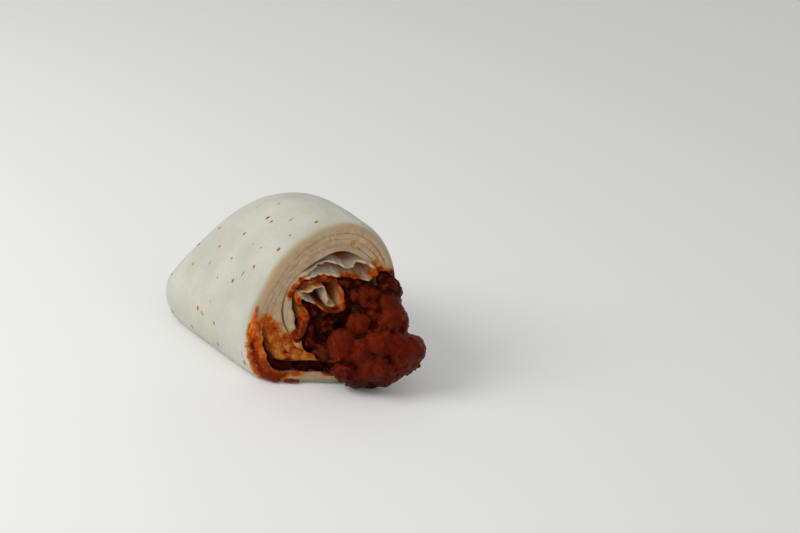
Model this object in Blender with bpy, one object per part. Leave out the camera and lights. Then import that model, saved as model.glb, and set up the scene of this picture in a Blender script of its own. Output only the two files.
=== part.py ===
"""Half of a chili con carne wrap: a rolled flatbread, cut across, with its filling spilling out.

The roll lies along X with its cut end towards +X, +Y is on the right seen from the cut, +Z is up.
Everything is worked out in millimetres in the roll's section, and scaled to metres in the meshes.
"""
import math
import random

import bmesh
import bpy
from mathutils import Vector, noise

MM = 0.001

# --- The roll's section at the cut: a leaning oval that the table presses flat underneath
HALF_WIDTH = 27.0
HALF_HEIGHT = 36.9
CENTRE_HEIGHT = 30.3
LEAN = 0.23              # sideways shift for each millimetre of height
FLOOR_BLEND = 5.0        # height over which the oval bends into its flat underside
TABLE_HEIGHT = 0.3       # the underside is cut level here
# Parts of the section are given as arcs in degrees, anticlockwise from the right: from, to, and
# over how many degrees the feature comes in and goes out
LOW_BULGE = 1.8          # the side low on the left swells out past the oval
LOW_BULGE_ARC = (-205, -85, 45, 45)

# --- Along the roll
LENGTH = 86.6            # from the foot of the cut back to the closed end
CUT_TURN = math.radians(26.4)
CUT_TILT = math.radians(14.25)
FRONT_REACH = 10.0       # where the section starts to change, forward of the foot of the cut
FAR_WIDTH = 1.06         # width, height and lean that the section reaches at the closed end
FAR_HEIGHT = 0.67
FAR_LEAN = 0.50
FAR_SHIFT = 1.3          # sideways
EARLY_POWER = 1.44       # the roll widens and leans evenly along its length,
LATE_POWER = 4           # and sinks mostly near its end

SLIVER = 0.05            # shorter edges than this are merged away
BLOCK = 300.0            # side of the blocks that cut the knife's and the table's planes

# --- The rolled sheet
SHEET = 1.7              # thickness of the flatbread
PITCH = 1.95             # from one turn to the next
TOP_SLACK = 0.85         # looser turns at the top
TOP_ARC = (20, 175, 60, 60)
SEAM_ANGLE = math.radians(-25.0)
STEP_SHARE = 0.10        # share of a turn over which it dips under the one outside it
SPIRAL_TURNS = 4.508
TURN_SAMPLES = 120       # points worked out for each turn, before they are spaced
GROOVE_TURN = 1.85       # from here on in, the turns stand off the ones outside them low on the left
GROOVE_DEPTH = 7.4
GROOVE_ARC = (-168, -10, 34, 75)
OUTER_STEP = 5.6         # length of a facet on the turns
INNER_STEP = 2.3         # and on the crumpled inner end
SHEET_BACK = -73.0       # where the turns end, inside the folded end
SHEET_ROWS = 5
KNIFE_SPARE = 6.0        # the sheet starts this far in front of the cut and is then sliced

# The sheet's inner end, as (right, up): waving over the top hollow, back under it, down and up
# the left side in a tight fold, then over into a small curl
INNER_END = (
    (-9.8, 44.9), (-5.4, 47.1), (-1.9, 49.4), (1.4, 50.5), (4.2, 50.1), (7.2, 48.8), (9.9, 49.3),
    (12.0, 50.9), (14.4, 51.2), (16.8, 49.8), (18.1, 47.5), (18.0, 45.2), (16.2, 43.8),
    (12.5, 44.1), (8.0, 44.3), (3.0, 44.3), (-2.0, 43.8), (-6.0, 42.4), (-10.4, 39.5),
    (-14.0, 35.2), (-15.7, 30.2), (-15.5, 25.9), (-14.2, 24.2), (-12.9, 25.9), (-12.9, 30.4),
    (-11.4, 34.4), (-8.2, 37.4), (-4.0, 39.0), (-1.2, 38.1), (-0.4, 35.2), (0.9, 32.8),
    (3.6, 32.6), (5.6, 35.0), (5.4, 38.2), (3.4, 40.2),
)

# --- The folded end
END_FRONT = -66.0        # where the folds start inside the roll
END_RECESS = 0.3         # the outer turn stands this proud of them
DOME_START = 0.86        # share of the length at which the end begins to close
DOME_ROWS = (0.0, 0.3, 0.55, 0.75, 0.9, 0.98)
END_WIDTH, END_HEIGHT = 0.82, 0.15   # shares of the section left where the end has closed
END_MIDDLE = 0.42        # share of the height towards which it closes
END_FACETS = 44

# --- The filling
CLEARANCE = 0.35         # between the heap and the cut layers behind it
CORE_CLEARANCE = 0.7     # between the filling inside the roll and the turns round it
CORE_PROUD = 1.2         # the filling inside reaches this far out of the cut, into the heap
CORE_ROWS = 4            # of the sheet's rows, so that it stops short of the folded end
CORE_TURNS = (3.88, 4.40)
CORE_SAMPLES = 60
AHEAD = 0.002            # share of a turn over which the sheet's direction is measured
# The filling's edge past the turns, as (right, up): round the fold, the curl and the hollow
CORE_EDGE = (
    (-14.0, 21.6), (-11.2, 25.4), (-11.1, 30.2), (-9.7, 33.1), (-7.0, 35.6), (-3.6, 37.1),
    (-2.6, 36.4), (-2.0, 34.4), (-0.5, 31.3), (3.8, 30.8), (7.4, 34.2), (7.3, 39.0), (7.0, 42.4),
    (12.6, 42.2), (16.2, 41.9),
)
# Lumps of the heap, as (right, up, out of the cut, radius)
LUMPS = (
    (3.4, 18.7, 3.0, 8.0), (15.8, 37.0, 0.0, 6.5), (22.0, 15.7, 7.0, 8.5), (11.6, 12.0, 8.0, 8.0),
    (23.0, 28.3, 3.0, 8.0), (3.3, 9.0, 6.0, 6.2), (1.7, 23.8, -2.0, 5.5), (11.0, 27.2, 2.5, 8.0),
    (24.8, 40.0, -2.0, 5.5), (26.8, 19.2, 6.0, 7.0), (-5.0, 18.0, -3.0, 5.0), (-2.0, 15.6, 0.0, 5.0),
    (7.3, 30.2, -2.0, 5.0), (22.7, 34.6, 0.0, 6.5), (16.9, 21.3, 6.0, 8.0), (27.4, 12.2, 6.0, 5.5),
    (-7.5, 23.5, 0.5, 3.6), (-5.0, 29.5, 0.0, 3.8), (1.5, 28.5, 0.5, 4.0), (11.0, 37.5, 0.0, 4.2),
    (8.5, 4.2, 0.0, 5.2), (15.5, 4.6, 0.0, 5.6),
)
LUMP_ROUGHNESS = 0.28    # share of a lump's radius by which its skin rises and falls
LUMP_STRETCH = 0.22      # share by which it is longer one way than another
CRUMB_COUNT = 44         # smaller crumbs of meat, half sunk in the lumps
CRUMB_RADIUS = (2.2, 3.8)
CRUMB_SINK = 0.85        # share of a lump's radius at which a crumb's middle sits
CRUMB_FACING = ((0.2, 1.0), (-1.0, 1.0), (-0.4, 1.0))   # ranges: out of the cut, sideways, up
COARSE, FINE = 1.1, 2.7  # how fast a lump's skin waves, for each radius along it
FINE_SHARE = 0.6         # height of the fine waves, as a share of the coarse ones'
SEED = 7

# --- Finishes: colour, roughness and the angle over which an edge stays sharp
FLATBREAD = ((0.62, 0.60, 0.50), 0.65, math.radians(40))
CHILI_SAUCE = ((0.13, 0.018, 0.008), 0.4, math.radians(50))

CUT_NORMAL = Vector((
    math.cos(CUT_TURN) * math.cos(CUT_TILT),
    -math.sin(CUT_TURN) * math.cos(CUT_TILT),
    math.sin(CUT_TILT),
))


def smooth(share):
    share = min(max(share, 0.0), 1.0)
    return share * share * (3.0 - 2.0 * share)


def plateau(angle, start, end, rise, fall):
    """1 between two angles in degrees, easing to 0 just inside the first and the second."""
    middle = (start + end) / 2
    degrees = (math.degrees(angle) - middle + 180.0) % 360.0 - 180.0 + middle
    return smooth((degrees - start) / rise) * smooth((end - degrees) / fall)


# --- The outer form

def inside(angle, depth):
    """A point of the cut's section, a depth under its outer edge: a smaller oval, a higher floor."""
    swell = LOW_BULGE * plateau(angle, *LOW_BULGE_ARC)
    up = CENTRE_HEIGHT + (HALF_HEIGHT - depth + swell) * math.sin(angle)
    right = (HALF_WIDTH - depth + swell) * math.cos(angle) + LEAN * (up - CENTRE_HEIGHT)
    if up < depth - FLOOR_BLEND:
        up = depth
    elif up < depth + FLOOR_BLEND:
        up = depth + (up - depth + FLOOR_BLEND) ** 2 / (4 * FLOOR_BLEND)
    return Vector((right, up))


def cut_x(right, up):
    """Where the cut crosses a line along the roll."""
    return -(CUT_NORMAL.y * right + CUT_NORMAL.z * up) / CUT_NORMAL.x


def shaped(x, right, up):
    """A point of the cut's section, moved to where the roll carries it at another x."""
    far = min(max((FRONT_REACH - x) / (LENGTH + FRONT_REACH), 0.0), 1.0)
    early, late = far ** EARLY_POWER, far ** LATE_POWER
    height = 1.0 + (FAR_HEIGHT - 1.0) * late
    width = 1.0 + (FAR_WIDTH - 1.0) * early
    lean = LEAN + (FAR_LEAN - LEAN) * early
    across = (right - LEAN * (up - CENTRE_HEIGHT)) * width
    high = up * height
    across += lean * (high - CENTRE_HEIGHT * height) + FAR_SHIFT * early
    closing = min(max((far - DOME_START) / (1.0 - DOME_START), 0.0), 1.0)
    dome = math.sqrt(1.0 - closing * closing)
    middle = END_MIDDLE * (CENTRE_HEIGHT + HALF_HEIGHT) * height
    across *= END_WIDTH + (1.0 - END_WIDTH) * dome
    high = middle + (high - middle) * (END_HEIGHT + (1.0 - END_HEIGHT) * dome)
    return Vector((x, across, high))


# --- The sheet's line in the section

def spiral(turns):
    """A point of the sheet's middle line, a number of turns in from its outer end."""
    angle = SEAM_ANGLE - 2 * math.pi * turns
    whole = math.floor(turns)
    layer = whole + smooth((turns - whole - (1.0 - STEP_SHARE)) / STEP_SHARE)
    pitch = PITCH + TOP_SLACK * plateau(angle, *TOP_ARC)
    depth = SHEET / 2 + layer * pitch
    if turns > GROOVE_TURN:
        depth += GROOVE_DEPTH * plateau(angle, *GROOVE_ARC)
    return inside(angle, depth)


def curve_through(points, pieces=8):
    """A smooth curve through points, as a close row of points."""
    ends = [points[0] * 2 - points[1]] + list(points) + [points[-1] * 2 - points[-2]]
    row = []
    for before, start, end, after in zip(ends, ends[1:], ends[2:], ends[3:]):
        for step in range(pieces):
            t = step / pieces
            row.append(0.5 * (2 * start + (end - before) * t
                              + (2 * before - 5 * start + 4 * end - after) * t * t
                              + (3 * start - before - 3 * end + after) * t * t * t))
    row.append(points[-1])
    return row


def spaced(row, step):
    """The same line with its points an even step apart."""
    lengths = [0.0]
    for a, b in zip(row, row[1:]):
        lengths.append(lengths[-1] + (b - a).length)
    count = max(2, round(lengths[-1] / step))
    result, place = [], 0
    for i in range(count + 1):
        want = lengths[-1] * i / count
        while place < len(row) - 2 and lengths[place + 1] < want:
            place += 1
        share = (want - lengths[place]) / max(lengths[place + 1] - lengths[place], 1e-9)
        result.append(row[place].lerp(row[place + 1], share))
    return result


def sheet_line():
    """The whole sheet from its outer end to its curl."""
    samples = round(SPIRAL_TURNS * TURN_SAMPLES)
    turns = [spiral(SPIRAL_TURNS * i / samples) for i in range(samples + 1)]
    run_in = turns[-TURN_SAMPLES // 15]
    inner = curve_through([run_in, turns[-1]] + [Vector(p) for p in INNER_END])
    start = min(range(len(inner)), key=lambda i: (inner[i] - turns[-1]).length)
    return spaced(turns, OUTER_STEP)[:-1] + spaced(inner[start:], INNER_STEP)


def core_line():
    """The filling's own edge: inside the last turn, then round the sheet's inner end."""
    first, last = CORE_TURNS
    clear = SHEET / 2 + CORE_CLEARANCE
    turns = []
    for i in range(CORE_SAMPLES + 1):
        place = first + (last - first) * i / CORE_SAMPLES
        ahead = (spiral(place + AHEAD) - spiral(place)).normalized()
        turns.append(spiral(place) + Vector((ahead.y, -ahead.x)) * clear)
    return spaced(turns, OUTER_STEP) + [Vector(p) for p in CORE_EDGE]


# --- Meshes

def mesh_object(name, bm):
    bmesh.ops.recalc_face_normals(bm, faces=bm.faces)
    bmesh.ops.triangulate(bm, faces=bm.faces)
    mesh = bpy.data.meshes.new(name)
    bm.to_mesh(mesh)
    bm.free()
    thing = bpy.data.objects.new(name, mesh)
    bpy.context.scene.collection.objects.link(thing)
    return thing


def applied(thing):
    """The thing with its modifiers made final."""
    graph = bpy.context.evaluated_depsgraph_get()
    mesh = bpy.data.meshes.new_from_object(thing.evaluated_get(graph))
    old = thing.data
    thing.modifiers.clear()
    thing.data = mesh
    bpy.data.meshes.remove(old)
    return thing


def combined(thing, others, operation):
    """The thing joined with, or cut by, all the others, which are then removed."""
    group = bpy.data.collections.new("others")
    bpy.context.scene.collection.children.link(group)
    for other in others:
        bpy.context.scene.collection.objects.unlink(other)
        group.objects.link(other)
    change = thing.modifiers.new(operation.lower(), "BOOLEAN")
    change.operation = operation
    change.operand_type = "COLLECTION"
    change.collection = group
    change.solver = "MANIFOLD"
    applied(thing)
    for other in others:
        bpy.data.objects.remove(other)
    bpy.data.collections.remove(group)
    return thing


def cleaned(thing):
    """Merge the slivers that joining leaves, and keep only the largest skin.

    That drops loose scraps, and fills hollows that the joining sealed.
    """
    bm = bmesh.new()
    bm.from_mesh(thing.data)
    bmesh.ops.remove_doubles(bm, verts=bm.verts, dist=SLIVER * MM)
    bmesh.ops.triangulate(bm, faces=bm.faces)
    bmesh.ops.dissolve_degenerate(bm, edges=bm.edges, dist=SLIVER * MM)
    bmesh.ops.triangulate(bm, faces=bm.faces)
    left, skins = set(bm.faces), []
    while left:
        skin, edge = [], [left.pop()]
        while edge:
            face = edge.pop()
            skin.append(face)
            found = {other for e in face.edges if len(e.link_faces) == 2 for other in e.link_faces}
            found &= left
            left -= found
            edge.extend(found)
        skins.append(skin)
    skins.sort(key=len)
    bmesh.ops.delete(bm, geom=[face for skin in skins[:-1] for face in skin], context="FACES")
    bmesh.ops.holes_fill(bm, edges=[e for e in bm.edges if e.is_boundary], sides=0)
    bmesh.ops.triangulate(bm, faces=bm.faces)
    bm.to_mesh(thing.data)
    bm.free()
    return thing


def tube(bm, rings, closed):
    """Skin a row of vertex rings, and cap both ends where they are closed rings."""
    for ring, following in zip(rings, rings[1:]):
        count = len(ring) if closed else len(ring) - 1
        for i in range(count):
            j = (i + 1) % len(ring)
            bm.faces.new((ring[i], ring[j], following[j], following[i]))
    if closed:
        bm.faces.new(rings[0])
        bm.faces.new(reversed(rings[-1]))


def swept(bm, line, spare, rows):
    """Rings of vertices that follow a section line back from a little in front of the cut."""
    rings = []
    for row in range(rows + 1):
        ring = []
        for point in line:
            front = cut_x(point.x, point.y) + KNIFE_SPARE
            x = front + (SHEET_BACK - front) * row / SHEET_ROWS
            x = min(x, front - KNIFE_SPARE + spare)
            ring.append(bm.verts.new(shaped(x, point.x, point.y) * MM))
        rings.append(ring)
    return rings


def rolled_sheet():
    """The flatbread's turns as one sheet, from in front of the cut back into the folded end."""
    bm = bmesh.new()
    tube(bm, swept(bm, sheet_line(), KNIFE_SPARE, SHEET_ROWS), closed=False)
    sheet = mesh_object("tortilla", bm)
    wall = sheet.modifiers.new("thickness", "SOLIDIFY")
    wall.thickness = SHEET * MM
    wall.offset = 0.0
    wall.use_even_offset = True
    return applied(sheet)


def folded_end():
    """The packed folds that close the roll, domed and pressed down towards the table."""
    bm = bmesh.new()
    edge = [inside(2 * math.pi * i / END_FACETS, END_RECESS) for i in range(END_FACETS)]
    dome_x = FRONT_REACH - DOME_START * (LENGTH + FRONT_REACH)
    places = [END_FRONT, SHEET_BACK + 1.0] + [dome_x + (-LENGTH - dome_x) * s for s in DOME_ROWS]
    rings = [[bm.verts.new(shaped(x, p.x, p.y) * MM) for p in edge] for x in places]
    tube(bm, rings, closed=True)
    return mesh_object("folded_end", bm)


def block(facing, start):
    """A large cutter that fills all beyond a plane, which faces a way and starts that far out."""
    bm = bmesh.new()
    bmesh.ops.create_cube(bm, size=BLOCK * MM)
    bmesh.ops.translate(bm, verts=bm.verts, vec=((start + BLOCK / 2) * MM, 0.0, 0.0))
    turn = Vector((1.0, 0.0, 0.0)).rotation_difference(facing)
    bmesh.ops.rotate(bm, verts=bm.verts, matrix=turn.to_matrix())
    return mesh_object("block", bm)


def on_table(thing):
    """The thing pressed flat underneath."""
    return combined(thing, [block(Vector((0.0, 0.0, -1.0)), -TABLE_HEIGHT)], "DIFFERENCE")


def make_tortilla():
    sheet = rolled_sheet()
    combined(sheet, [folded_end()], "UNION")
    combined(sheet, [block(CUT_NORMAL, 0.0)], "DIFFERENCE")
    return cleaned(on_table(sheet))


def beyond_cut(right, up, out):
    """The point at a place in the section that lies a distance out of the cut."""
    return Vector((cut_x(right, up) + out / CUT_NORMAL.x, right, up))


def lump(rng, centre, radius):
    """A rough ball of minced meat and sauce, uneven and a little longer one way."""
    stretch = [rng.uniform(1.0 - LUMP_STRETCH, 1.0 + LUMP_STRETCH) for _ in range(3)]
    bm = bmesh.new()
    bmesh.ops.create_icosphere(bm, subdivisions=2, radius=radius)
    for vert in bm.verts:
        place = vert.co / radius + centre
        waves = noise.noise(place * COARSE) + FINE_SHARE * noise.noise(place * FINE)
        swell = 1.0 + LUMP_ROUGHNESS * waves
        vert.co = (centre + Vector(a * b for a, b in zip(vert.co, stretch)) * swell) * MM
    return mesh_object("lump", bm)


def filling_core():
    """The filling inside the roll."""
    bm = bmesh.new()
    tube(bm, swept(bm, core_line(), CORE_PROUD, CORE_ROWS), closed=True)
    return mesh_object("core", bm)


def heap_pieces(rng):
    """The big lumps, and crumbs of meat set in the sides of them that face out of the cut."""
    pieces = [lump(rng, beyond_cut(right, up, out), radius) for right, up, out, radius in LUMPS]
    for _ in range(CRUMB_COUNT):
        right, up, out, radius = rng.choice(LUMPS)
        facing = Vector([rng.uniform(*limits) for limits in CRUMB_FACING])
        centre = beyond_cut(right, up, out) + facing.normalized() * radius * CRUMB_SINK
        pieces.append(lump(rng, centre, rng.uniform(*CRUMB_RADIUS)))
    return pieces


def make_chili():
    first, *others = heap_pieces(random.Random(SEED))
    heap = combined(first, others, "UNION")
    combined(heap, [block(-CUT_NORMAL, -CLEARANCE)], "DIFFERENCE")
    on_table(heap)
    heap.name = "chili"
    return cleaned(combined(heap, [filling_core()], "UNION"))


# --- Finishes

def material(name, colour, roughness):
    finish = bpy.data.materials.new(name)
    finish.use_nodes = True
    shader = finish.node_tree.nodes["Principled BSDF"]
    shader.inputs["Base Color"].default_value = (*colour, 1.0)
    shader.inputs["Roughness"].default_value = roughness
    shader.inputs["Metallic"].default_value = 0.0
    return finish


def finished(thing, name, colour, roughness, sharp_angle):
    thing.data.materials.clear()
    thing.data.materials.append(material(name, colour, roughness))
    thing.data.shade_smooth()
    thing.data.set_sharp_from_angle(angle=sharp_angle)
    return thing


def centre_on_table(things):
    """Shift the meshes so that the origin is under the middle of the whole, on the table."""
    points = [v.co for thing in things for v in thing.data.vertices]
    low = Vector(min(p[i] for p in points) for i in range(3))
    high = Vector(max(p[i] for p in points) for i in range(3))
    shift = Vector((-(low.x + high.x) / 2, -(low.y + high.y) / 2, -low.z))
    for thing in things:
        for vert in thing.data.vertices:
            vert.co += shift


def main():
    for thing in list(bpy.data.objects):
        bpy.data.objects.remove(thing)
    tortilla = finished(make_tortilla(), "flatbread", *FLATBREAD)
    chili = finished(make_chili(), "chili_sauce", *CHILI_SAUCE)
    centre_on_table([tortilla, chili])


main()
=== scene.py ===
# %% [markdown]
# # Half of a chili con carne wrap
#
# A wrap is one thin flatbread rolled round a filling and cut across. This lesson dresses a plain solid model
# of one half: the flatbread with its toasted skin and its cut, sauce-stained layers, and the heap of minced
# meat that falls out of the cut. The solids are loaded first. They give the size and the place of everything.

# %% Load the solid model
import math
import random
from collections import namedtuple

import bmesh
import bpy
from mathutils import Matrix, Vector, noise


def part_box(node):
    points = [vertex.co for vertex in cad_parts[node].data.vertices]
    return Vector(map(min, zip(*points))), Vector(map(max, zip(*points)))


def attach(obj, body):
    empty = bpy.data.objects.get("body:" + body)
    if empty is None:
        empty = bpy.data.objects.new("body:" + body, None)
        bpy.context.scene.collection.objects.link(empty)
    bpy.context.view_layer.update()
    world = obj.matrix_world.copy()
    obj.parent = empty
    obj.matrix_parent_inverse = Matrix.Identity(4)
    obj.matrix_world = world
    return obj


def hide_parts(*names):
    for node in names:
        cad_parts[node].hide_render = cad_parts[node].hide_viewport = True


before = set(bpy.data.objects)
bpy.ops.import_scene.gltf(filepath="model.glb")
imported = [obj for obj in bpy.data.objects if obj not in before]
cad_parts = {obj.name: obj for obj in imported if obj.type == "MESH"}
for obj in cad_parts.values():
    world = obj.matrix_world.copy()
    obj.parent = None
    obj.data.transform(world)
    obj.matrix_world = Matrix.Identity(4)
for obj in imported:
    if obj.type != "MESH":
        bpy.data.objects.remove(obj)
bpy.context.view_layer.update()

MM = 0.001

# %% [markdown]
# ## The form of the roll
#
# Every layer of the roll follows the same form, so the form is a few functions and not a mesh. They work in
# millimetres in the roll's section: x along the roll towards the cut, y to the right, z up from the table.
# `inside` gives the leaning oval that the table presses flat, at a depth under the skin. `shaped` then
# narrows, lowers and closes that section towards the far end. The sizes are those of the solids.

# %% Sizes of the roll
HALF_WIDTH, HALF_HEIGHT, CENTRE_HEIGHT, LEAN = 27.0, 36.9, 30.3, 0.23      # of the oval at the cut
FLOOR_BLEND = 5.0          # the underside eases flat over this height
TABLE_HEIGHT = 0.3         # the height in the section that the model's floor is at
# An arc is (start, end, rise, fall) in degrees round the section, from the right and up over the top.
LOW_BULGE, LOW_BULGE_ARC = 1.8, (-205, -85, 45, 45)
LENGTH = 86.6              # from the cut's middle to the closed end
CUT_TURN, CUT_TILT = math.radians(26.4), math.radians(14.25)       # the knife's plane, from square
FRONT_REACH = 10.0         # ahead of the cut's middle, where the roll starts to narrow
FAR_WIDTH, FAR_HEIGHT, FAR_LEAN, FAR_SHIFT = 1.06, 0.67, 0.50, 1.3         # the far end against the cut
EARLY_POWER, LATE_POWER = 1.44, 4      # the width and the lean change early, the height late
DOME_START = 0.86          # share of the length where the far end starts to close
END_WIDTH, END_HEIGHT, END_MIDDLE = 0.82, 0.15, 0.42       # shares of the section that are left at the end
CUT_NORMAL = Vector((math.cos(CUT_TURN) * math.cos(CUT_TILT), -math.sin(CUT_TURN) * math.cos(CUT_TILT),
                     math.sin(CUT_TILT)))

# %% Easing
def clamp(value):
    return min(max(value, 0.0), 1.0)


def smooth(share):
    """0 to 1, slow at both ends."""
    share = clamp(share)
    return share * share * (3.0 - 2.0 * share)


def plateau(angle, start, end, rise, fall):
    """1 between two angles in degrees, easing to 0 just inside the first and the second."""
    middle = (start + end) / 2
    degrees = (math.degrees(angle) - middle + 180.0) % 360.0 - 180.0 + middle
    return smooth((degrees - start) / rise) * smooth((end - degrees) / fall)

# %% The section at the cut, and where the roll carries it
def inside(angle, depth):
    """A point of the cut's section at a depth under the skin."""
    swell = LOW_BULGE * plateau(angle, *LOW_BULGE_ARC)
    up = CENTRE_HEIGHT + (HALF_HEIGHT - depth + swell) * math.sin(angle)
    right = (HALF_WIDTH - depth + swell) * math.cos(angle) + LEAN * (up - CENTRE_HEIGHT)
    if up < depth - FLOOR_BLEND:
        up = depth
    elif up < depth + FLOOR_BLEND:
        up = depth + (up - depth + FLOOR_BLEND) ** 2 / (4 * FLOOR_BLEND)
    return Vector((right, up))


def cut_x(right, up):
    """Where the knife's plane crosses a line along the roll."""
    return -(CUT_NORMAL.y * right + CUT_NORMAL.z * up) / CUT_NORMAL.x


def shaped(x, right, up):
    """A point of the cut's section, moved to where the roll carries it at another x."""
    far = clamp((FRONT_REACH - x) / (LENGTH + FRONT_REACH))
    early, late = far ** EARLY_POWER, far ** LATE_POWER
    height = 1.0 + (FAR_HEIGHT - 1.0) * late
    width = 1.0 + (FAR_WIDTH - 1.0) * early
    lean = LEAN + (FAR_LEAN - LEAN) * early
    across = (right - LEAN * (up - CENTRE_HEIGHT)) * width
    high = up * height
    across += lean * (high - CENTRE_HEIGHT * height) + FAR_SHIFT * early
    closing = clamp((far - DOME_START) / (1.0 - DOME_START))
    dome = math.sqrt(1.0 - closing * closing)
    middle = END_MIDDLE * (CENTRE_HEIGHT + HALF_HEIGHT) * height
    across *= END_WIDTH + (1.0 - END_WIDTH) * dome
    high = middle + (high - middle) * (END_HEIGHT + (1.0 - END_HEIGHT) * dome)
    return Vector((x, across, high))


def ripple(place, size, seed=0.0):
    """Smooth noise, mostly within plus and minus a half, with bumps of a size, at a place, in millimetres."""
    return noise.noise(Vector(place) / size + Vector((seed, 1.7 * seed, -seed)))

# %% Where the section's corner lies in the model
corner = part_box("tortilla")[0]
leftmost = min(shaped(-x, *inside(math.radians(a), 0.0)).y
               for x in range(0, 80, 4) for a in range(150, 270, 2))
SHIFT = Vector((corner.x / MM + LENGTH, corner.y / MM - leftmost, -TABLE_HEIGHT))
print("shift from the section to the model:", [round(s, 2) for s in SHIFT], "mm")


def to_model(place):
    """From the section's millimetres to the model's metres, resting on the table."""
    return (Vector((place.x, place.y, max(place.z, TABLE_HEIGHT))) + SHIFT) * MM

# %% [markdown]
# ## The camera
#
# The wrap is seen from the front right and a little above, with a long lens, so that the cut faces us and the
# skin runs away to the left. The camera is set from two angles and a slight roll, and aimed so that the foot
# of the cut falls at the right place in the frame.

# %% Camera
LENS, SENSOR = 65.0, 36.0  # millimetres
DISTANCE = 600.0
AROUND, ABOVE, ROLL = math.radians(43.2), math.radians(23.5), math.radians(9.56)
FOOT_IN_FRAME = (-0.0875, -0.149375)       # of the frame's width, from its middle

back = Vector((math.cos(AROUND) * math.cos(ABOVE), -math.sin(AROUND) * math.cos(ABOVE), math.sin(ABOVE)))
level = (-back).cross(Vector((0.0, 0.0, 1.0))).normalized()
over = level.cross(-back)
aside = level * math.cos(ROLL) + over * math.sin(ROLL)
upward = over * math.cos(ROLL) - level * math.sin(ROLL)
towards_foot = -back + (aside * FOOT_IN_FRAME[0] + upward * FOOT_IN_FRAME[1]) * SENSOR / LENS

camera = bpy.data.objects.new("camera", bpy.data.cameras.new("camera"))
bpy.context.scene.collection.objects.link(camera)
bpy.context.scene.camera = camera
camera.data.lens, camera.data.sensor_width = LENS, SENSOR
camera.data.clip_start, camera.data.clip_end = 0.05, 20.0
turn = Matrix((aside, upward, back)).transposed()
camera.matrix_world = Matrix.Translation((SHIFT - towards_foot * DISTANCE) * MM) @ turn.to_4x4()
print("camera at", [round(v, 3) for v in camera.location], "m")

# %% [markdown]
# ## The sheet's line
#
# Seen at the cut, the flatbread is one long line. It starts at its outer edge, low on the right, and turns
# clockwise inwards four and a half times. Then it leaves the turns: it waves over a hollow, comes back under
# it, makes a tight fold low on the left, rises again and closes round itself in a curl, with a small hook
# inside. The turns are worked out by a rule, and the free end is a smooth curve through listed points.

# %% Sizes of the sheet
PITCH = 1.95               # from one layer to the next,
TOP_SLACK, TOP_ARC = 0.85, (20, 175, 60, 60)       # and this much more over the top
FULLNESS = 1.02            # the bread is a little thicker than the pitch, so the layers press together,
UNEVEN = 0.13              # and its thickness varies by this share, so they part only where it is thin
SEAM_ANGLE = math.radians(-25.0)
STEP_SHARE = 0.10          # of each turn, over which the sheet dips under itself
SPIRAL_TURNS = 4.508
GROOVE_TURN, GROOVE_DEPTH, GROOVE_ARC = 1.85, 5.2, (-182, -10, 34, 75)     # a groove opens from this turn on
FAN_TURN, FAN, FAN_ARC = 2, 1.7, (-206, -90, 34, 55)       # inside it the layers stand apart on the left,
FAN_FILLED = 0.8           # though thicker bread fills most of that,
CRACK_TURN, CRACK, CRACK_ARC = 4.1, 1.0, (-214, -150, 30, 30)      # and the last layer has come off a little
FREE_HALF, FREE_EASE = 0.5, 60     # half the thickness of the free end, reached after this many points
BUNCH, BUNCH_PLACE, BUNCH_RADIUS = 0.75, Vector((-11.6, 26.5)), 9.0        # it is thicker in the left fold
BUNCH_STEEP = 1.3          # over 1 a patch keeps its full strength round its middle
LEAD_IN = 16               # points of the turns that lead into the free end's curve
INNER_END = (   # (right, up), from where the sheet leaves the turns to its inner end
    (-9.8, 44.9), (-5.4, 47.1), (-1.9, 49.4), (1.4, 50.5), (4.2, 50.1), (7.2, 48.8), (9.9, 49.3),
    (12.0, 50.9), (14.4, 51.2), (16.8, 49.8), (18.1, 47.5), (18.0, 45.2), (16.2, 43.8),
    (12.5, 44.3), (8.0, 44.9), (3.5, 45.2), (-1.0, 45.3), (-5.0, 44.8), (-9.0, 43.0), (-12.0, 39.9),
    (-13.6, 35.8), (-13.9, 31.0), (-13.6, 25.6), (-13.0, 21.6), (-11.9, 20.1), (-10.6, 21.2),
    (-9.2, 24.0), (-8.8, 27.2), (-9.3, 30.2), (-10.4, 33.0), (-11.6, 35.0), (-11.4, 36.5), (-10.2, 36.4),
    (-8.6, 35.5), (-6.4, 34.5), (-4.3, 33.4), (-2.6, 32.1), (-0.8, 31.3), (1.3, 31.0), (3.3, 31.8),
    (4.7, 33.7), (5.3, 36.2), (5.0, 38.8), (4.1, 41.0), (2.4, 42.5), (0.4, 43.2), (-1.6, 43.3), (-3.8, 42.9),
    (-6.0, 42.1), (-8.2, 41.0), (-10.0, 39.9), (-10.9, 38.8), (-10.1, 38.1), (-8.6, 38.5), (-7.0, 39.1),
    (-5.2, 40.0), (-3.7, 40.8), (-2.4, 41.0), (-1.4, 40.2), (-1.0, 38.8), (-1.2, 37.0), (-1.4, 35.2),
    (-0.9, 33.9), (0.3, 33.4), (1.6, 34.6),
)

# %% The rule of the turns
def layer_at(turns):
    """How many layers lie over the sheet: it dips under itself in the last part of each turn."""
    whole = math.floor(turns)
    return whole + smooth((turns - whole - (1.0 - STEP_SHARE)) / STEP_SHARE)


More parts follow.
